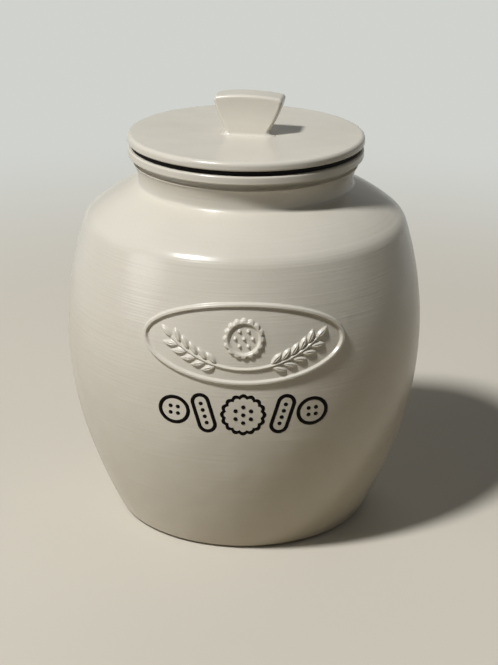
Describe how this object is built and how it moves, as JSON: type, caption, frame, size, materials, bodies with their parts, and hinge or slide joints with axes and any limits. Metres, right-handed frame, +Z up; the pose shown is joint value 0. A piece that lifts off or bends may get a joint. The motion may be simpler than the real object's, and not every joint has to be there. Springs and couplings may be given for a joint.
{
  "type": "biscuit jar",
  "caption": "Round-shouldered stoneware biscuit jar with a push-in lid, flared tab knob and soft ring seal.",
  "frame": {"origin": "centre of the jar's standing ring, on the surface that it stands on", "axes": "+Z up along the jar's turning axis, -Y to the front with the raised ornament, +X to the right seen from the front"},
  "size_m": [0.1904, 0.1919, 0.2292],
  "materials": {
    "glazed_stoneware": "satin cream glaze with faint turning lines",
    "lid_stoneware": "satin cream glaze",
    "seal_silicone": "matt moulded silicone"
  },
  "bodies": {
    "jar": {"jar_body": "glazed_stoneware"},
    "seal": {"lid_seal": "seal_silicone"},
    "lid": {"lid": "lid_stoneware"}
  },
  "joints": [
    {"name": "lid_lift", "type": "slide", "parent": "jar", "child": "seal", "axis": [0, 0, 1], "range_m": [0, 0.08]},
    {"name": "lid_turn", "type": "hinge", "parent": "seal", "child": "lid", "pos_m": [0, 0, 0.2042], "axis": [0, 0, 1], "continuous": true}
  ]
}
